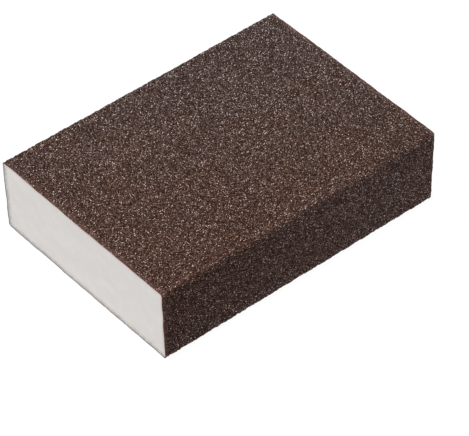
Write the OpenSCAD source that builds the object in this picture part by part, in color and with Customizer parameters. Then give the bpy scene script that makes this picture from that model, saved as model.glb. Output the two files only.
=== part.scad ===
// Flexible sanding block: a foam core with an abrasive coat on each of its four long faces.
// The block lies along X, is wide along Y and rests on Z = 0. Its two cut ends show the bare foam.
// Each coat is a resin bond coat on the foam, with a layer of abrasive grain held in it.
// Neighbouring coats meet on a mitre plane through the middle of each rounded long edge.

/* [Block] */
// Length between the two cut ends, along X
block_l = 100; // [60:1:200]
// Width over the grit, along Y
block_w = 70; // [45:1:120]
// Height over the grit, along Z
block_h = 25; // [15:1:40]
// Radius of the four long edges, outside the grit
edge_r = 1; // [0.8:0.1:5]

/* [Coats] */
// Thickness of the resin bond coat on the foam
bond_t = 0.1; // [0.05:0.01:0.2]
// Thickness of the grain layer, from the bond coat to the tips of the grains
grit_t = 0.3; // [0.1:0.05:0.5]

/* [Hidden] */
$fn = 48;

foam_colour = "whitesmoke";
bond_colour = "sienna";
wide_grit_colour = "#55453e";
side_grit_colour = "#3d2f2c";

// Depth of each layer's outside surface below the tips of the grains
grit_depth = 0;
bond_depth = grit_t;
foam_depth = grit_t + bond_t;

// Where the mitre planes of one side meet, halfway up the block
mitre_y = block_w / 2 - block_h / 2;
mitre_z = block_h / 2;

// The block's cross-section at a depth below the tips of the grains, with the drawing's x along Y
module section(depth) {
    r = edge_r - depth;
    y = block_w / 2 - edge_r;
    z = block_h / 2 - edge_r;
    translate([0, block_h / 2]) {
        square([2 * y, 2 * (z + r)], center = true);
        square([2 * (y + r), 2 * z], center = true);
        for (side = [-1, 1], level = [-1, 1])
            translate([side * y, level * z])
                circle(r);
    }
}

// Turns a drawing of the cross-section into a bar along X
module bar() {
    rotate([90, 0, 90])
        linear_extrude(block_l, center = true)
            children();
}

// The part of the cross-section that belongs to the top face
module top_sector() {
    polygon([
        [-block_w / 2, block_h],
        [block_w / 2, block_h],
        [mitre_y, mitre_z],
        [-mitre_y, mitre_z]
    ]);
}

// The part of the cross-section that belongs to the back face
module back_sector() {
    polygon([
        [block_w / 2, 0],
        [block_w / 2, block_h],
        [mitre_y, mitre_z]
    ]);
}

// One face's layer between two depths, inside that face's sector
module coat(outer_depth, inner_depth) {
    bar()
        intersection() {
            difference() {
                section(outer_depth);
                section(inner_depth);
            }
            children();
        }
}

module top_coat(outer_depth, inner_depth) {
    coat(outer_depth, inner_depth)
        top_sector();
}

module bottom_coat(outer_depth, inner_depth) {
    coat(outer_depth, inner_depth)
        translate([0, block_h])
            mirror([0, 1])
                top_sector();
}

module back_coat(outer_depth, inner_depth) {
    coat(outer_depth, inner_depth)
        back_sector();
}

module front_coat(outer_depth, inner_depth) {
    coat(outer_depth, inner_depth)
        mirror([1, 0])
            back_sector();
}

module foam_core() {
    color(foam_colour)
        bar()
            section(foam_depth);
}

module top_bond_coat() {
    color(bond_colour)
        top_coat(bond_depth, foam_depth);
}

module bottom_bond_coat() {
    color(bond_colour)
        bottom_coat(bond_depth, foam_depth);
}

module front_bond_coat() {
    color(bond_colour)
        front_coat(bond_depth, foam_depth);
}

module back_bond_coat() {
    color(bond_colour)
        back_coat(bond_depth, foam_depth);
}

module top_grit_coat() {
    color(wide_grit_colour)
        top_coat(grit_depth, bond_depth);
}

module bottom_grit_coat() {
    color(wide_grit_colour)
        bottom_coat(grit_depth, bond_depth);
}

module front_grit_coat() {
    color(side_grit_colour)
        front_coat(grit_depth, bond_depth);
}

module back_grit_coat() {
    color(side_grit_colour)
        back_coat(grit_depth, bond_depth);
}

foam_core();
top_bond_coat();
bottom_bond_coat();
front_bond_coat();
back_bond_coat();
top_grit_coat();
bottom_grit_coat();
front_grit_coat();
back_grit_coat();
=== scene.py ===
import math

import bpy
import numpy as np
from mathutils import Matrix, Vector

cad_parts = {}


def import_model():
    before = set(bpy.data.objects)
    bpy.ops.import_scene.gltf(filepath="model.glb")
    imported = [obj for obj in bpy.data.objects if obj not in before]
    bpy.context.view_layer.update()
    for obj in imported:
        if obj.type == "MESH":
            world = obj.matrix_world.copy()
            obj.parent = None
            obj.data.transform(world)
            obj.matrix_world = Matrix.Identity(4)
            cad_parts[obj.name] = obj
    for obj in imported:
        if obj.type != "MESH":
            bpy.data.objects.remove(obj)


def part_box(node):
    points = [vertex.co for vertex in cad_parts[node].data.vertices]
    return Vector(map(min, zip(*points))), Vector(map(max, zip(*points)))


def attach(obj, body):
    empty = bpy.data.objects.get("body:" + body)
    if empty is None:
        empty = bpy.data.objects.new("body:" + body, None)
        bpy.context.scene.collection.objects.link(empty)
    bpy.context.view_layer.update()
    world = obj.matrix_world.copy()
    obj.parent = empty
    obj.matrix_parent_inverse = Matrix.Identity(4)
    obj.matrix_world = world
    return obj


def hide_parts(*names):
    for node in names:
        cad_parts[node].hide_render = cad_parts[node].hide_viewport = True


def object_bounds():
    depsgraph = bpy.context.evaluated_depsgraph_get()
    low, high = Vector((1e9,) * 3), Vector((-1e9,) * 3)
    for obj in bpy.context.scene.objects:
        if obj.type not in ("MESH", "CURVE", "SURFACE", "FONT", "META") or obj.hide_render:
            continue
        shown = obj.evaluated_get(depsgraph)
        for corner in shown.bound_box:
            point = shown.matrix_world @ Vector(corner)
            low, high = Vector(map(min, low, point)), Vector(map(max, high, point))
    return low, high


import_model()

MM = 0.001
cad_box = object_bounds()

# ---------------------------------------------------------------- sizes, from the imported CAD


def box_mm(name):
    """Lowest and highest corner of a CAD node, in millimetres."""
    return [np.array(corner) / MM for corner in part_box(name)]


LOW, HIGH = (np.array(corner) / MM for corner in cad_box)
HALF_L = (HIGH[0] - LOW[0]) / 2
HALF_W = (HIGH[1] - LOW[1]) / 2
HEIGHT = HIGH[2] - LOW[2]
MID_Z = (HIGH[2] + LOW[2]) / 2
GRIT_T = HIGH[2] - box_mm("top_bond_coat")[1][2]
BOND_T = box_mm("top_bond_coat")[1][2] - box_mm("foam_core")[1][2]
FOAM_DEPTH = GRIT_T + BOND_T
# The top coat's lowest point is the inner end of its mitre, which gives the edge radius
COS_45 = math.cos(math.pi / 4)
EDGE_R = (HIGH[2] - box_mm("top_grit_coat")[0][2] - GRIT_T * COS_45) / (1 - COS_45)

SEED = 20

# The cut ends lean in towards the bottom, because the foam gave under the blade. They are cut a
# little out of square as well. The near end is the one at -X
LEAN_NEAR, LEAN_FAR = 0.9, 0.2
SKEW = 0.2
# The blade left faint waves in the ends: their mean inset and the deepest one, then the height of
# one wave, their number and their shortest and longest length
CUT_INSET, CUT_DEEPEST = 0.08, 0.2
CUT_WAVE = 0.03
CUT_WAVES = 5
CUT_SHORTEST, CUT_LONGEST = 5.0, 14.0
# How far from the end the points move with it
CUT_REACH = 2.0
cut_rng = np.random.default_rng(SEED + 41)
cut_angle, cut_phase = cut_rng.uniform(0, 2 * math.pi, (2, CUT_WAVES))
cut_length = np.linspace(CUT_SHORTEST, CUT_LONGEST, CUT_WAVES)

# ---------------------------------------------------------------- coats as bands round the section

# The four coats in order round the section. Each has its outward normal and its tangent in the
# YZ plane, so that X, tangent and normal are right-handed. A band's + side meets the next one.
RING = ["top", "back", "bottom", "front"]
NORMALS = [(0.0, 1.0), (1.0, 0.0), (0.0, -1.0), (-1.0, 0.0)]
TANGENTS = [(1.0, 0.0), (0.0, -1.0), (-1.0, 0.0), (0.0, 1.0)]
# Each rounded edge is split in two by the mitre, and each half belongs to one band
ARC_LENGTH = EDGE_R * math.pi / 4
ARC_CELLS = 3

# The grain's mesh: the distance between its points, how far they stray, and the depth of its
# highest tips and deepest valleys below the CAD face
PITCH = 0.27
X_CELLS = round(2 * HALF_L / PITCH)
JITTER = 0.2 * PITCH
TIP_DEPTH = 0.02
VALLEY_DEPTH = 0.25


def is_wide(k):
    """Whether band k is the top or the bottom."""
    return k % 2 == 0


def flat_half(k):
    """Half the width of the flat part of band k."""
    return (HALF_W if is_wide(k) else HEIGHT / 2) - EDGE_R


def face_height(k):
    """Distance from the section's middle to the face of band k."""
    return HEIGHT / 2 if is_wide(k) else HALF_W


def band_lines(k, flat_cells, arc_cells):
    """Positions across band k, from mitre to mitre, with a line at each end of the flat part."""
    a = flat_half(k)
    flat = np.linspace(-a, a, flat_cells + 1)
    arc = np.linspace(0, ARC_LENGTH, arc_cells + 1)[1:]
    return np.concatenate([-(a + arc[::-1]), flat, a + arc])


def band_point(k, x, s, depth):
    """Point of band k at x along the block, s across the band, and depth below the grain tips."""
    a = flat_half(k)
    past = np.clip(np.abs(s) - a, 0, ARC_LENGTH)
    angle = past / EDGE_R
    radius = EDGE_R - depth
    along = np.clip(s, -a, a) + np.sign(s) * radius * np.sin(angle)
    out = face_height(k) - EDGE_R + radius * np.cos(angle)
    (ny, nz), (ty, tz) = NORMALS[k], TANGENTS[k]
    y = along * ty + out * ny
    z = MID_Z + along * tz + out * nz
    return lean_ends(x, y, z)


def lean_ends(x, y, z):
    """Leans, skews and waves the cut ends, and returns the points as an array."""
    x, y, z = np.broadcast_arrays(x, y, z)
    inset = np.full(x.shape, CUT_INSET)
    for angle, phase, length in zip(cut_angle, cut_phase, cut_length):
        turn = 2 * math.pi / length * (y * math.cos(angle) + z * math.sin(angle))
        inset += CUT_WAVE * np.sin(turn + phase * np.sign(x))
    inset = np.clip(inset, 0, CUT_DEEPEST) + SKEW * (1 - np.sign(x) * y / HALF_W)
    inset += np.where(x < 0, LEAN_NEAR, LEAN_FAR) * (1 - (z - LOW[2]) / HEIGHT)
    share = np.clip((np.abs(x) - HALF_L) / CUT_REACH + 1, 0, 1)
    return np.stack([x - np.sign(x) * inset * share, y, z], axis=-1)


def new_piece(name, points, faces, material, replaced):
    """A mesh piece from points in millimetres, which rides on the root body."""
    mesh = bpy.data.meshes.new(name)
    faces = [[int(v) for v in face] for face in faces]
    mesh.from_pydata((points.reshape(-1, 3) * MM).tolist(), [], faces)
    mesh.update()
    piece = bpy.data.objects.new(name, mesh)
    bpy.context.scene.collection.objects.link(piece)
    piece.data.materials.append(material)
    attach(piece, "root")
    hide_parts(replaced)
    return piece


def store(piece, name, values):
    """Stores a number or a vector at each vertex, for the piece's material to read by name."""
    kind, key = ("FLOAT", "value") if values.ndim == 1 else ("FLOAT_VECTOR", "vector")
    attribute = piece.data.attributes.new(name, kind, "POINT")
    attribute.data.foreach_set(key, values.astype(np.float32).ravel())


# ---------------------------------------------------------------- grit coats


def soft_noise(rng, shape, width):
    """Smooth random field from -1 to 1, with features about this many grid cells wide."""
    rows, cols = (max(2, round(n / width) + 2) for n in shape)
    coarse = rng.uniform(-1, 1, (rows, cols))
    u = np.linspace(0, rows - 1.001, shape[0])
    v = np.linspace(0, cols - 1.001, shape[1])
    i, j = u.astype(int), v.astype(int)
    fu, fv = (u - i)[:, None], (v - j)[None, :]
    fu, fv = fu * fu * (3 - 2 * fu), fv * fv * (3 - 2 * fv)
    near = coarse[np.ix_(i, j)] * (1 - fv) + coarse[np.ix_(i, j + 1)] * fv
    far = coarse[np.ix_(i + 1, j)] * (1 - fv) + coarse[np.ix_(i + 1, j + 1)] * fv
    return near * (1 - fu) + far * fu


# The coat is a little thicker or thinner in patches of this many cells
PATCH_DEPTH = 0.02
PATCH_CELLS = 14
# Distance between the four faces' parts of the grain pattern
SHEET_STEP = 200.0
# The coat's thickness varies along each rounded edge, in waves about a grain or two long: the
# edge's mean depth, the height of its waves and of its single grains, and the width over which
# the face's own relief changes over to it
EDGE_DEPTH, EDGE_WAVE, EDGE_GRAIN = 0.13, 0.12, 0.05
EDGE_WAVE_LENGTH = 0.6
EDGE_FADE = 0.8
# Grain has chipped away at the cut ends, most where the blade went in: the deepest chip in each
# face's grain, the shallowest as a share of it, and the length over which they change
CHIPS = {"top": 0.25, "back": 0.05, "bottom": 0.05, "front": 0.5}
CHIP_LEAST = 0.3
CHIP_LENGTH = 0.7
# The outermost rows of grain draw back by these shares of the chip
CHIP_SHARES = (1.0, 0.75, 0.5, 0.25, 0.1)
# The deepest chip at the ends of the long edges
CORNER_CHIP = 0.5 * CHIPS["top"]
# Depth of the grain's edge at the cut ends, and how much it varies
END_DEPTH, END_WAVE = 0.01, 0.07
# The grain is nowhere thinner than this
LEAST_GRAIN = 0.02
MAX_DEPTH = GRIT_T - LEAST_GRAIN
# Each coat has its own slight tint, and painted light drifts over its face: a paler, cooler painted
# sheen towards the far end and towards the back of a wide face, painted shade towards the near end
# of a narrow face, and a narrow face darker and warmer towards its top. The numbers are the tint in
# the middle, its change towards the far end, and its change towards the back of a wide face or the
# top of a narrow one
WIDE_TINT_AND_PAINTED_LIGHT = (1.0, 1.025, 1.04), (-0.03, 0.035, 0.085), (0.015, 0.095, 0.165)
NARROW_TINT_AND_PAINTED_LIGHT = (1.04, 0.99, 1.025), (0.15, 0.22, 0.29), (-0.08, -0.11, -0.15)
edge_rng = np.random.default_rng(SEED)
x_lines = np.linspace(-HALF_L, HALF_L, X_CELLS + 1)


def waves(rng, positions, length):
    """Random values from 0 to 1 that drift along the positions, over about this length."""
    knots = np.arange(positions[0], positions[-1] + length, length)
    return np.interp(positions, knots, rng.random(len(knots)))


def shared_edges():
    """For each long edge, its wave, and the x and depth of the vertices that two coats share."""
    edges = []
    for _ in RING:
        x = x_lines + edge_rng.uniform(-JITTER, JITTER, X_CELLS + 1)
        x[[0, -1]] = x_lines[[0, -1]] + np.array([1, -1]) * CORNER_CHIP * edge_rng.random(2)
        wave = EDGE_DEPTH + EDGE_WAVE * (2 * waves(edge_rng, x_lines, EDGE_WAVE_LENGTH) - 1)
        depth = wave + EDGE_GRAIN * edge_rng.uniform(-1, 1, X_CELLS + 1)
        edges.append((wave, x, np.clip(depth, 0, MAX_DEPTH)))
    return edges


def grit_coat(k, edges, material):
    """The grain of one face as a closed shell: a faceted outside, and a plain underside."""
    rng = np.random.default_rng(SEED + 1 + k)
    flat_cells = round(2 * flat_half(k) / PITCH)
    s_lines = band_lines(k, flat_cells, ARC_CELLS)
    shape = (X_CELLS + 1, len(s_lines))
    x = x_lines[:, None] + rng.uniform(-JITTER, JITTER, shape)
    x[[0, -1]] = x_lines[[0, -1], None]
    for row, inward in ((0, 1), (-1, -1)):
        chip = CHIPS[RING[k]] * (CHIP_LEAST + (1 - CHIP_LEAST) * waves(rng, s_lines, CHIP_LENGTH))
        for n, share in enumerate(CHIP_SHARES):
            x[row + n * inward] += inward * share * chip
    s = s_lines[None, :] + rng.uniform(-JITTER, JITTER, shape)
    s[[0, -1]] = s_lines[None, :]
    s[:, [0, -1]] = s_lines[None, [0, -1]]

    depth = rng.uniform(TIP_DEPTH, VALLEY_DEPTH, shape)
    depth += PATCH_DEPTH * soft_noise(rng, shape, PATCH_CELLS)
    # Towards each rounded edge the relief changes over to that edge's wave
    grain = EDGE_GRAIN * rng.uniform(-1, 1, shape)
    for side, (wave, _, _) in ((-1, edges[k - 1]), (1, edges[k])):
        share = np.clip((side * s_lines - flat_half(k)) / EDGE_FADE + 0.5, 0, 1)[None, :]
        depth = depth * (1 - share) + (wave[:, None] + grain) * share
    for row in (0, -1):
        depth[row] = END_DEPTH + END_WAVE * waves(rng, s_lines, CHIP_LENGTH)
    depth = np.clip(depth, TIP_DEPTH / 2, MAX_DEPTH)
    for column, (_, edge_x, edge_depth) in ((0, edges[k - 1]), (-1, edges[k])):
        x[:, column], depth[:, column] = edge_x, edge_depth

    ends = band_point(k, x_lines[[0, -1], None], s[[0, -1]], GRIT_T)
    points = np.concatenate([band_point(k, x, s, depth).reshape(-1, 3), ends.reshape(-1, 3)])
    index = np.arange(x.size).reshape(shape)
    a, b = index[:-1, :-1].ravel(), index[1:, :-1].ravel()
    c, d = index[1:, 1:].ravel(), index[:-1, 1:].ravel()
    flip = rng.random(len(a)) < 0.5
    first = np.where(flip[:, None], np.stack([a, b, c], 1), np.stack([a, b, d], 1))
    second = np.where(flip[:, None], np.stack([a, c, d], 1), np.stack([b, c, d], 1))
    faces = np.concatenate([first, second]).tolist()

    # Cut ends, from the outside down to the bond coat
    left, right = x.size + np.arange(2 * shape[1]).reshape(2, -1)
    for j in range(shape[1] - 1):
        faces.append([left[j], index[0, j], index[0, j + 1], left[j + 1]])
        faces.append([right[j], right[j + 1], index[-1, j + 1], index[-1, j]])
    # Underside: strips from end to end on the rounded edges, and one flat face between them
    for j in (*range(ARC_CELLS), *range(ARC_CELLS + flat_cells, shape[1] - 1)):
        faces.append([left[j], left[j + 1], right[j + 1], right[j]])
    flat = slice(ARC_CELLS, ARC_CELLS + flat_cells + 1)
    faces.append([*left[flat], *right[flat][::-1]])
    # Mitre walls
    faces.append([left[0], right[0], *index[::-1, 0]])
    faces.append([*index[:, -1], right[-1], left[-1]])

    node = f"{RING[k]}_grit_coat"
    piece = new_piece(f"{RING[k]}_grit", points, faces, material, node)
    height = np.concatenate([1 - depth.ravel() / GRIT_T, np.zeros(len(points) - depth.size)])
    store(piece, "tip", height)
    # Where each vertex is on the unrolled sheet, in millimetres, so that the grain isn't cut
    # from a solid pattern; each face has its own part of the pattern
    flat_x = np.concatenate([x.ravel(), np.repeat(x_lines[[0, -1]], shape[1])])
    flat_s = np.concatenate([s.ravel(), s[[0, -1]].ravel()]) + SHEET_STEP * k
    store(piece, "sheet", np.stack([flat_x, flat_s, np.zeros(len(points))], axis=-1))
    # The stored tint carries the coat's own tint, and the painted sheen and shade that drift over
    # its face
    middle, far, over = WIDE_TINT_AND_PAINTED_LIGHT if is_wide(k) else NARROW_TINT_AND_PAINTED_LIGHT
    across = points[:, 1] / HALF_W if is_wide(k) else (points[:, 2] - MID_Z) * 2 / HEIGHT
    drift = np.array(middle) + np.outer(points[:, 0] / HALF_L, far) + np.outer(across, over)
    store(piece, "tint_and_painted_light", drift)


# ---------------------------------------------------------------- bond coats

# The cut edge of a bond coat has a point every so often, which is set back by up to this much
BOND_END_CELL = 0.6
BOND_END_UNEVEN = 0.02


def bond_coat(k, material):
    """The resin under the grain of one face, with slightly uneven cut edges."""
    rng = np.random.default_rng(SEED + 11 + k)
    flat_cells = round(2 * flat_half(k) / BOND_END_CELL)
    s = band_lines(k, flat_cells, ARC_CELLS)
    count = len(s)
    rows = []
    for depth in (GRIT_T, FOAM_DEPTH):
        for side in (-1, 1):
            x = side * (HALF_L - rng.uniform(0, BOND_END_UNEVEN, count))
            x[[0, -1]] = side * HALF_L
            rows.append(band_point(k, x, s, np.full(count, depth)))
    outer_left, outer_right, inner_left, inner_right = np.arange(4 * count).reshape(4, count)
    faces = []
    flat = slice(ARC_CELLS, ARC_CELLS + flat_cells + 1)
    for j in range(count - 1):
        if not ARC_CELLS <= j < ARC_CELLS + flat_cells:
            faces.append([outer_left[j], outer_right[j], outer_right[j + 1], outer_left[j + 1]])
            faces.append([inner_left[j], inner_left[j + 1], inner_right[j + 1], inner_right[j]])
        faces.append([outer_left[j], outer_left[j + 1], inner_left[j + 1], inner_left[j]])
        faces.append([outer_right[j], inner_right[j], inner_right[j + 1], outer_right[j + 1]])
    faces.append([*outer_right[flat], *outer_left[flat][::-1]])
    faces.append([*inner_left[flat], *inner_right[flat][::-1]])
    faces.append([outer_left[0], inner_left[0], inner_right[0], outer_right[0]])
    faces.append([outer_left[-1], outer_right[-1], inner_right[-1], inner_left[-1]])
    node = f"{RING[k]}_bond_coat"
    new_piece(f"{RING[k]}_bond", np.concatenate(rows), faces, material, node)


# ---------------------------------------------------------------- foam core

# The cut ends' mesh: the distance between its points, how far the middle bows in, the deepest
# pore, and half the height and the width, in cells, of the soft lumps
FOAM_PITCH = 0.3
FOAM_BOW = 0.15
FOAM_PORE = 0.05
FOAM_LUMP = 0.025
FOAM_LUMP_CELLS = 9
# The powers with which the bow and the pores fade towards the ends' edges, across Y and Z
FADE_Y, FADE_Z = 8, 4
SHARP_ANGLE = math.radians(40)
# Two steps of the outline are in line if their cosine is this close to 1
IN_LINE = 1e-6
# How far the bond resin has soaked into the foam from the back and the bottom, ever more faintly,
# which shows at the cut ends
SOAK = 2.6
# How far a reddish blush of resin reaches into the foam from the top and the front
BLUSH = 1.2


def rounded(u, v, half_u, half_v, radius):
    """Moves points of a rectangle's corner squares so that its corners become round."""
    pu = np.clip((np.abs(u) - (half_u - radius)) / radius, 0, 1)
    pv = np.clip((np.abs(v) - (half_v - radius)) / radius, 0, 1)
    length = np.hypot(pu, pv)
    scale = np.where(length > 0, np.maximum(pu, pv) / np.where(length > 0, length, 1), 1)
    u = np.sign(u) * np.where(pu > 0, half_u - radius + radius * pu * scale, np.abs(u))
    v = np.sign(v) * np.where(pv > 0, half_v - radius + radius * pv * scale, np.abs(v))
    return u, v


def foam_core(material):
    """The foam bar: finely meshed cut ends with small open cells, and plain long faces."""
    half_y, half_z, radius = HALF_W - FOAM_DEPTH, HEIGHT / 2 - FOAM_DEPTH, EDGE_R - FOAM_DEPTH
    corner = np.linspace(0, radius, ARC_CELLS + 1)
    y = np.linspace(-(half_y - radius), half_y - radius, round(2 * half_y / FOAM_PITCH))
    z = np.linspace(-(half_z - radius), half_z - radius, round(2 * half_z / FOAM_PITCH))
    y = np.concatenate([-half_y + corner[:-1], y, half_y - corner[:-1][::-1]])
    z = np.concatenate([-half_z + corner[:-1], z, half_z - corner[:-1][::-1]])
    grid_y, grid_z = np.meshgrid(y, z, indexing="ij")
    shape = grid_y.shape
    round_y, round_z = rounded(grid_y, grid_z, half_y, half_z, radius)
    rng = np.random.default_rng(SEED + 31)
    inner = (1 - (grid_y / half_y) ** FADE_Y) * (1 - (grid_z / half_z) ** FADE_Z)
    points, faces = [], []
    for side in (-1, 1):
        pores = rng.random(shape) ** 2 * FOAM_PORE
        lumps = FOAM_LUMP * (1 + soft_noise(rng, shape, FOAM_LUMP_CELLS))
        x = side * (HALF_L - inner * (pores + lumps + FOAM_BOW))
        points.append(lean_ends(x, round_y, MID_Z + round_z))
    soak_gap = np.minimum(half_y - grid_y, half_z + grid_z)
    blush_gap = np.minimum(half_y + grid_y, half_z - grid_z)
    index = np.arange(2 * shape[0] * shape[1]).reshape(2, *shape)
    for end in (0, 1):
        a, b = index[end, :-1, :-1].ravel(), index[end, 1:, :-1].ravel()
        c, d = index[end, 1:, 1:].ravel(), index[end, :-1, 1:].ravel()
        quad = np.stack([a, b, c, d] if end else [a, d, c, b], 1)
        faces += quad.tolist()
    ring = [index[:, 1:, 0], index[:, -1, 1:], index[:, :-1, -1][:, ::-1], index[:, 0, :-1][:, ::-1]]
    left, right = np.concatenate(ring, axis=1)
    total = len(left)
    rim = points[1].reshape(-1, 3)[right - shape[0] * shape[1]]
    # Long faces: a strip wherever the outline turns, and one face for each straight run
    step = np.roll(rim, -1, 0) - rim
    step = step[:, 1:] / np.linalg.norm(step[:, 1:], axis=1)[:, None]
    turns = [j for j in range(total) if abs(step[j] @ step[j - 1] - 1) > IN_LINE]
    for n, first in enumerate(turns):
        last = turns[(n + 1) % len(turns)]
        run = [(first + m) % total for m in range((last - first) % total + 1)]
        faces.append([*(left[j] for j in run), *(right[j] for j in run[::-1])])
    piece = new_piece("foam_bar", np.concatenate(points), faces, material, "foam_core")
    for name, gap, reach in (("soak", soak_gap, SOAK), ("blush", blush_gap, BLUSH)):
        store(piece, name, np.clip(1 - np.tile(gap.ravel(), 2) / reach, 0, 1))
    piece.data.shade_smooth()
    piece.data.set_sharp_from_angle(angle=SHARP_ANGLE)


# ---------------------------------------------------------------- material helpers

# Height of the relief in every bump
RELIEF = 0.03


def node(tree, kind, inputs=None, **settings):
    """Adds a node. inputs maps a socket to a value, or to the socket that feeds it."""
    made = tree.nodes.new(kind)
    for key, value in settings.items():
        setattr(made, key, value)
    for key, value in (inputs or {}).items():
        if isinstance(value, bpy.types.NodeSocket):
            tree.links.new(value, made.inputs[key])
        else:
            made.inputs[key].default_value = value
    return made


def ramp(tree, factor, stops):
    """Colour ramp. stops are (position, (r, g, b)) in linear light."""
    made = node(tree, "ShaderNodeValToRGB", {"Fac": factor})
    elements = made.color_ramp.elements
    while len(elements) < len(stops):
        elements.new(0.5)
    for element, (position, colour) in zip(elements, stops):
        element.position = position
        element.color = (*colour, 1)
    return made.outputs["Color"]


def spread(tree, value, span, to=(0.0, 1.0), smooth=True):
    """Maps a value from one span to another, clamped."""
    sockets = {
        "Value": value, "From Min": span[0], "From Max": span[1], "To Min": to[0], "To Max": to[1]
    }
    kind = "SMOOTHSTEP" if smooth else "LINEAR"
    return node(tree, "ShaderNodeMapRange", sockets, interpolation_type=kind).outputs["Result"]


def mix(tree, factor, first, second, blend="MIX"):
    """Mixes two colours, each a socket or (r, g, b) in linear light."""
    made = node(tree, "ShaderNodeMix", data_type="RGBA", blend_type=blend)
    sockets = made.inputs[0], made.inputs[6], made.inputs[7]
    for socket, value in zip(sockets, (factor, first, second)):
        if isinstance(value, bpy.types.NodeSocket):
            tree.links.new(value, socket)
        elif isinstance(value, tuple):
            socket.default_value = (*value, 1)
        else:
            socket.default_value = value
    return made.outputs[2]


def math_node(tree, operation, *values):
    """A math node's result, from numbers or sockets."""
    return node(tree, "ShaderNodeMath", dict(enumerate(values)), operation=operation).outputs[0]


def vector_node(tree, operation, inputs):
    """A vector math node's result."""
    made = node(tree, "ShaderNodeVectorMath", inputs, operation=operation)
    return made.outputs["Vector"]


def stored(tree, name, output="Fac"):
    """What store() keeps at each vertex under this name: a number, or a vector."""
    return node(tree, "ShaderNodeAttribute", attribute_name=name).outputs[output]


def per_metre(size_mm):
    """Texture scale for features of this size."""
    return 1 / (size_mm * MM)


def noise(tree, coords, size_mm, detail, roughness=0.5):
    """Soft noise with features of this size."""
    inputs = {
        "Vector": coords, "Scale": per_metre(size_mm), "Detail": detail, "Roughness": roughness
    }
    return node(tree, "ShaderNodeTexNoise", inputs).outputs["Fac"]


def cells(tree, coords, size_mm):
    """Distance from the middle of the nearest of many cells of this size."""
    inputs = {"Vector": coords, "Scale": per_metre(size_mm)}
    return node(tree, "ShaderNodeTexVoronoi", inputs).outputs["Distance"]


def bump(tree, shader, strength, inputs, invert=False):
    """Fine relief, too small for the mesh, on the shader's normal."""
    inputs = {"Strength": strength, "Distance": RELIEF * MM, **inputs}
    made = node(tree, "ShaderNodeBump", inputs, invert=invert)
    tree.links.new(made.outputs["Normal"], shader.inputs["Normal"])


def new_material(name):
    """A material, its node tree, its shader, and the coordinates on the object, in metres."""
    material = bpy.data.materials.new(name)
    material.use_nodes = True
    tree = material.node_tree
    shader = tree.nodes["Principled BSDF"]
    coords = node(tree, "ShaderNodeTexCoord").outputs["Object"]
    return material, tree, shader, coords


# ---------------------------------------------------------------- grit material

GRAIN_SIZE = 0.31
# Each grain's tone, darkest to palest. The palest, near-white stops are painted glints, standing in
# for light glinting off the grains
GRAIN_TONES_AND_GLINTS = [
    (0.0, (0.0165, 0.0069, 0.0043)),
    (0.35, (0.066, 0.0337, 0.0243)),
    (0.72, (0.172, 0.109, 0.090)),
    (0.91, (0.325, 0.223, 0.198)),
    (0.955, (0.600, 0.460, 0.425)),
    (1.0, (0.970, 0.825, 0.800)),
]
# Dark resin shows between the grains, from one distance from a grain's middle to another in grain
# sizes. The low parts of the relief darken to a share of the same colour, partly resin and partly
# painted shade in the hollows
GRIT_RESIN_AND_SHADE = (0.0195, 0.0078, 0.0047)
GAP_SPAN = 0.2, 0.55
LOW_SPAN = 0.1, 0.5
LOW_RESIN_AND_SHADE = 0.6
# Soft patches of cooler and warmer brown
PATCH_SIZE, PATCH_DETAIL, PATCH_ROUGHNESS = 9, 5, 0.7
PATCH_TINTS = [(0.35, (0.935, 0.975, 1.02)), (0.65, (1.025, 0.965, 0.90))]
# The brightest grains, from one tone to another, take less and less of the tint and painted light,
# so that the painted glints stay pale
PAINTED_GLINT_SPAN = 0.85, 0.95
PAINTED_GLINT_TINT = 0.6
# The grains are paler towards the cut ends, some more than others, and most at their tips
RIM_COLOUR = (0.155, 0.082, 0.066)
RIM_WIDTH = 2.0
RIM_MOST = 0.85
RIM_LEAST_SHARE = 0.3
RIM_TIP_SPAN = 0.0, 0.9
# Some grains are glossy, and most are dull
GLOSS_SPAN = 0.25, 0.45
GRAIN_ROUGHNESS = 0.16, 0.75
GRIT_SPECULAR = 0.06
# How far each grain's facet is tilted, and the size and strength of the chips in it
FACET_TILT = 0.7
GRAIN_CHIP = 0.12
GRAIN_BUMP = 0.3


def grit_colour(tree, coords, sheet, tone, distance):
    """The grit's colour, from each grain's own tone and the distance from its middle, with painted
    shade, glints and sheen.
    """
    tip = stored(tree, "tip")
    gap = spread(tree, distance, GAP_SPAN)
    # Painted shade: the low parts of the relief darken towards the resin colour, partly as resin,
    # partly as shade
    low = spread(tree, tip, LOW_SPAN, (LOW_RESIN_AND_SHADE, 0.0))
    grain = ramp(tree, tone.outputs["Red"], GRAIN_TONES_AND_GLINTS)
    colour = mix(tree, math_node(tree, "MAXIMUM", gap, low), grain, GRIT_RESIN_AND_SHADE)
    patches = noise(tree, coords, PATCH_SIZE, PATCH_DETAIL, PATCH_ROUGHNESS)
    patches = ramp(tree, patches, PATCH_TINTS)
    # Tint patches times the stored tint, which also carries painted sheen and shade
    tint_and_painted_light = mix(tree, 1.0, patches, stored(tree, "tint_and_painted_light", "Vector"), "MULTIPLY")
    taken = spread(tree, tone.outputs["Red"], PAINTED_GLINT_SPAN, (1.0, PAINTED_GLINT_TINT))
    colour = mix(tree, taken, colour, tint_and_painted_light, "MULTIPLY")
    along = node(tree, "ShaderNodeSeparateXYZ", {0: sheet}).outputs["X"]
    along = math_node(tree, "ABSOLUTE", along)
    rim = spread(tree, along, (HALF_L - RIM_WIDTH, HALF_L), (0.0, RIM_MOST), smooth=False)
    share = spread(tree, tone.outputs["Blue"], (0, 1), (RIM_LEAST_SHARE, 1.0))
    rim = math_node(tree, "MULTIPLY", rim, share)
    rim = math_node(tree, "MULTIPLY", rim, spread(tree, tip, RIM_TIP_SPAN))
    return mix(tree, rim, colour, RIM_COLOUR)


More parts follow.
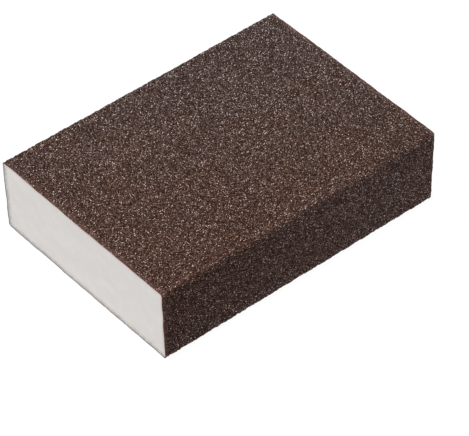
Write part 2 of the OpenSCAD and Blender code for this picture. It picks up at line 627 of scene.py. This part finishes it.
def grit_material():
    """Brown aluminium oxide grain, each grain its own tone, held in a reddish-brown resin."""
    material, tree, shader, coords = new_material("brown_grit")
    sheet = stored(tree, "sheet", "Vector")
    grains = node(
        tree, "ShaderNodeTexVoronoi", {"Vector": sheet, "Scale": 1 / GRAIN_SIZE},
        voronoi_dimensions="2D",
    )
    tone = node(tree, "ShaderNodeSeparateColor", {"Color": grains.outputs["Color"]})
    colour = grit_colour(tree, coords, sheet, tone, grains.outputs["Distance"])
    tree.links.new(colour, shader.inputs["Base Color"])
    roughness = spread(tree, tone.outputs["Green"], GLOSS_SPAN, GRAIN_ROUGHNESS)
    tree.links.new(roughness, shader.inputs["Roughness"])
    # Each grain has its own facet direction, on top of the mesh's facets
    surface = node(tree, "ShaderNodeNewGeometry").outputs["Normal"]
    tilt = vector_node(tree, "SUBTRACT", {0: grains.outputs["Color"], 1: (0.5, 0.5, 0.5)})
    tilt = vector_node(tree, "SCALE", {0: tilt, "Scale": FACET_TILT})
    facet = vector_node(tree, "ADD", {0: surface, 1: tilt})
    facet = vector_node(tree, "NORMALIZE", {0: facet})
    chips = cells(tree, coords, GRAIN_CHIP)
    bump(tree, shader, GRAIN_BUMP, {"Height": chips, "Normal": facet})
    shader.inputs["Specular IOR Level"].default_value = GRIT_SPECULAR
    return material


# ---------------------------------------------------------------- bond resin material

BOND_TONES = [(0.3, (0.040, 0.020, 0.014)), (0.7, (0.085, 0.045, 0.033))]
BOND_SPAN = 0.3, 0.7
BOND_ROUGHNESS = 0.35, 0.55
BOND_LUMP, BOND_DETAIL = 1.5, 4
BOND_BUMP = 0.4


def bond_material():
    """Cured reddish-brown resin, slightly uneven."""
    material, tree, shader, coords = new_material("bond_resin")
    lumps = noise(tree, coords, BOND_LUMP, BOND_DETAIL)
    tree.links.new(ramp(tree, lumps, BOND_TONES), shader.inputs["Base Color"])
    roughness = spread(tree, lumps, BOND_SPAN, BOND_ROUGHNESS)
    tree.links.new(roughness, shader.inputs["Roughness"])
    bump(tree, shader, BOND_BUMP, {"Height": lumps})
    return material


# ---------------------------------------------------------------- foam material

FOAM_TONES = [(0.3, (0.850, 0.816, 0.790)), (0.7, (0.903, 0.868, 0.841))]
CLOUD_SIZE, CLOUD_DETAIL = 3, 5
CLOUD_SPAN = 0.3, 0.7
FOAM_ROUGHNESS = 0.8, 0.95
FOAM_SPECULAR = 0.25
# Fine cells, darker and lower towards their walls
CELL_SIZE = 0.35
CELL_COLOUR = (0.78, 0.75, 0.72)
CELL_SPAN = 0.0, 0.5
CELL_MOST = 0.35
CELL_BUMP = 0.3
# Resin that has soaked in. It fades with a power of the distance, and lumps make it uneven
SOAK_COLOUR = (0.085, 0.055, 0.042)
SOAK_POWER = 2.7
SOAK_MOST = 0.4
SOAK_LUMP, SOAK_LUMP_DETAIL = 0.9, 2
SOAK_LUMP_SPAN = 0.35, 0.65
SOAK_LUMP_SHARE = 0.35, 0.95
# The reddish blush of resin, which fades in the same way
BLUSH_COLOUR = (0.52, 0.12, 0.05)
BLUSH_POWER = 2.0
BLUSH_MOST = 0.45


def foam_colour(tree, coords, cloud, cell):
    """The foam's colour, with the resin that shows at the cut ends."""
    colour = ramp(tree, cloud, FOAM_TONES)
    colour = mix(tree, spread(tree, cell, CELL_SPAN, (0.0, CELL_MOST)), colour, CELL_COLOUR)
    lumps = noise(tree, coords, SOAK_LUMP, SOAK_LUMP_DETAIL)
    lumps = spread(tree, lumps, SOAK_LUMP_SPAN, SOAK_LUMP_SHARE)
    soak = math_node(tree, "POWER", stored(tree, "soak"), SOAK_POWER)
    soak = math_node(tree, "MULTIPLY", soak, lumps)
    soak = math_node(tree, "MINIMUM", soak, SOAK_MOST)
    colour = mix(tree, soak, colour, SOAK_COLOUR)
    blush = math_node(tree, "POWER", stored(tree, "blush"), BLUSH_POWER)
    blush = math_node(tree, "MULTIPLY", blush, BLUSH_MOST)
    return mix(tree, blush, colour, BLUSH_COLOUR)


def foam_material():
    """Fine-celled white foam."""
    material, tree, shader, coords = new_material("white_foam")
    cell = cells(tree, coords, CELL_SIZE)
    cloud = noise(tree, coords, CLOUD_SIZE, CLOUD_DETAIL)
    tree.links.new(foam_colour(tree, coords, cloud, cell), shader.inputs["Base Color"])
    roughness = spread(tree, cloud, CLOUD_SPAN, FOAM_ROUGHNESS)
    tree.links.new(roughness, shader.inputs["Roughness"])
    bump(tree, shader, CELL_BUMP, {"Height": cell}, invert=True)
    shader.inputs["Specular IOR Level"].default_value = FOAM_SPECULAR
    return material


# ---------------------------------------------------------------- the block

grit, resin, foam = grit_material(), bond_material(), foam_material()
edge_lines = shared_edges()
for band in range(len(RING)):
    grit_coat(band, edge_lines, grit)
    bond_coat(band, resin)
foam_core(foam)

# ---------------------------------------------------------------- stage, light and camera

FLOOR_RADIUS_M = 4.0
FLOOR_SIDES = 64
COVE_RADIUS_M = 0.6
COVE_HEIGHT_M = 0.4
COVE_STEPS = 8
FLOOR_TONE = 0.06
FLOOR_GLOW = 0.95
WORLD_STRENGTH = 0.05
# Each softbox: place in metres, size in metres, power in watts
SOFTBOXES = {
    "overhead": ((-1.0, -0.15, 4.0), 5.0, 147.0),
    "key": ((-0.3, 0.2, 4.0), 0.6, 136.0),
}


def stage():
    """A pale, softly glowing round floor that curves up a little at its rim."""
    last = math.acos(1 - COVE_HEIGHT_M / COVE_RADIUS_M)
    bends = [last * n / COVE_STEPS for n in range(COVE_STEPS + 1)]
    turns = [2 * math.pi * i / FLOOR_SIDES for i in range(FLOOR_SIDES)]
    points = []
    for bend in bends:
        radius = FLOOR_RADIUS_M + COVE_RADIUS_M * math.sin(bend)
        z = COVE_RADIUS_M * (1 - math.cos(bend))
        points += [(radius * math.cos(turn), radius * math.sin(turn), z) for turn in turns]
    faces = [list(range(FLOOR_SIDES))]
    for ring in range(COVE_STEPS):
        a, b = ring * FLOOR_SIDES, (ring + 1) * FLOOR_SIDES
        for i in range(FLOOR_SIDES):
            j = (i + 1) % FLOOR_SIDES
            faces.append([a + j, a + i, b + i, b + j])
    mesh = bpy.data.meshes.new("floor")
    mesh.from_pydata(points, [], faces)
    floor = bpy.data.objects.new("floor", mesh)
    material, _, shader, _ = new_material("pale_floor")
    shader.inputs["Base Color"].default_value = (FLOOR_TONE, FLOOR_TONE, FLOOR_TONE, 1)
    shader.inputs["Roughness"].default_value = 1.0
    shader.inputs["Specular IOR Level"].default_value = 0.0
    shader.inputs["Emission Color"].default_value = (1, 1, 1, 1)
    shader.inputs["Emission Strength"].default_value = FLOOR_GLOW
    floor.data.materials.append(material)
    bpy.context.scene.collection.objects.link(floor)


def softbox(name, position, size, watts):
    """A square soft light that points at the block."""
    light = bpy.data.lights.new(name, "AREA")
    light.shape = "SQUARE"
    light.size = size
    light.energy = watts
    lamp = bpy.data.objects.new(name, light)
    lamp.location = position
    aim = Vector((0, 0, MID_Z * MM)) - Vector(position)
    lamp.rotation_euler = aim.to_track_quat("-Z", "Y").to_euler()
    lamp.visible_camera = False
    bpy.context.scene.collection.objects.link(lamp)


def world():
    """Faint, even light from all round."""
    made = bpy.data.worlds.new("studio")
    made.use_nodes = True
    background = made.node_tree.nodes["Background"]
    background.inputs["Color"].default_value = (1, 1, 1, 1)
    background.inputs["Strength"].default_value = WORLD_STRENGTH
    bpy.context.scene.world = made


stage()
world()
for softbox_name, setting in SOFTBOXES.items():
    softbox(softbox_name, *setting)

# The camera stands on a sphere about the block's middle and aims a little beside it
CAMERA_AZIMUTH = math.radians(-130.165)
CAMERA_ELEVATION = math.radians(42.459)
CAMERA_DISTANCE = 933.7
CAMERA_ROLL = -0.00315
AIM_RIGHT = 4.013
AIM_UP = -10.727
FOCAL_LENGTH = 254.733
SENSOR_WIDTH = 36.0
CLIP_NEAR_M, CLIP_FAR_M = 0.01, 100


def camera():
    """The camera, from its place on the sphere and the point that it aims at."""
    middle = np.array([0, 0, MID_Z])
    flat = math.cos(CAMERA_ELEVATION)
    back = np.array([
        flat * math.cos(CAMERA_AZIMUTH), flat * math.sin(CAMERA_AZIMUTH), math.sin(CAMERA_ELEVATION)
    ])
    right = np.cross(-back, [0, 0, 1])
    right /= np.linalg.norm(right)
    up = np.cross(right, -back)
    eye = middle + back * CAMERA_DISTANCE
    forward = middle + right * AIM_RIGHT + up * AIM_UP - eye
    forward /= np.linalg.norm(forward)
    level = np.cross(forward, [0, 0, 1])
    level /= np.linalg.norm(level)
    upright = np.cross(level, forward)
    c, s = math.cos(CAMERA_ROLL), math.sin(CAMERA_ROLL)
    axes = np.array([c * level + s * upright, c * upright - s * level, -forward]).T
    lens = bpy.data.cameras.new("camera")
    lens.sensor_fit = "HORIZONTAL"
    lens.sensor_width = SENSOR_WIDTH
    lens.lens = FOCAL_LENGTH
    lens.clip_start, lens.clip_end = CLIP_NEAR_M, CLIP_FAR_M
    made = bpy.data.objects.new("camera", lens)
    matrix = Matrix(axes.tolist()).to_4x4()
    matrix.translation = Vector((eye * MM).tolist())
    made.matrix_world = matrix
    bpy.context.scene.collection.objects.link(made)
    bpy.context.scene.camera = made


camera()
bpy.context.scene.view_settings.view_transform = "Standard"

bpy.context.view_layer.update()
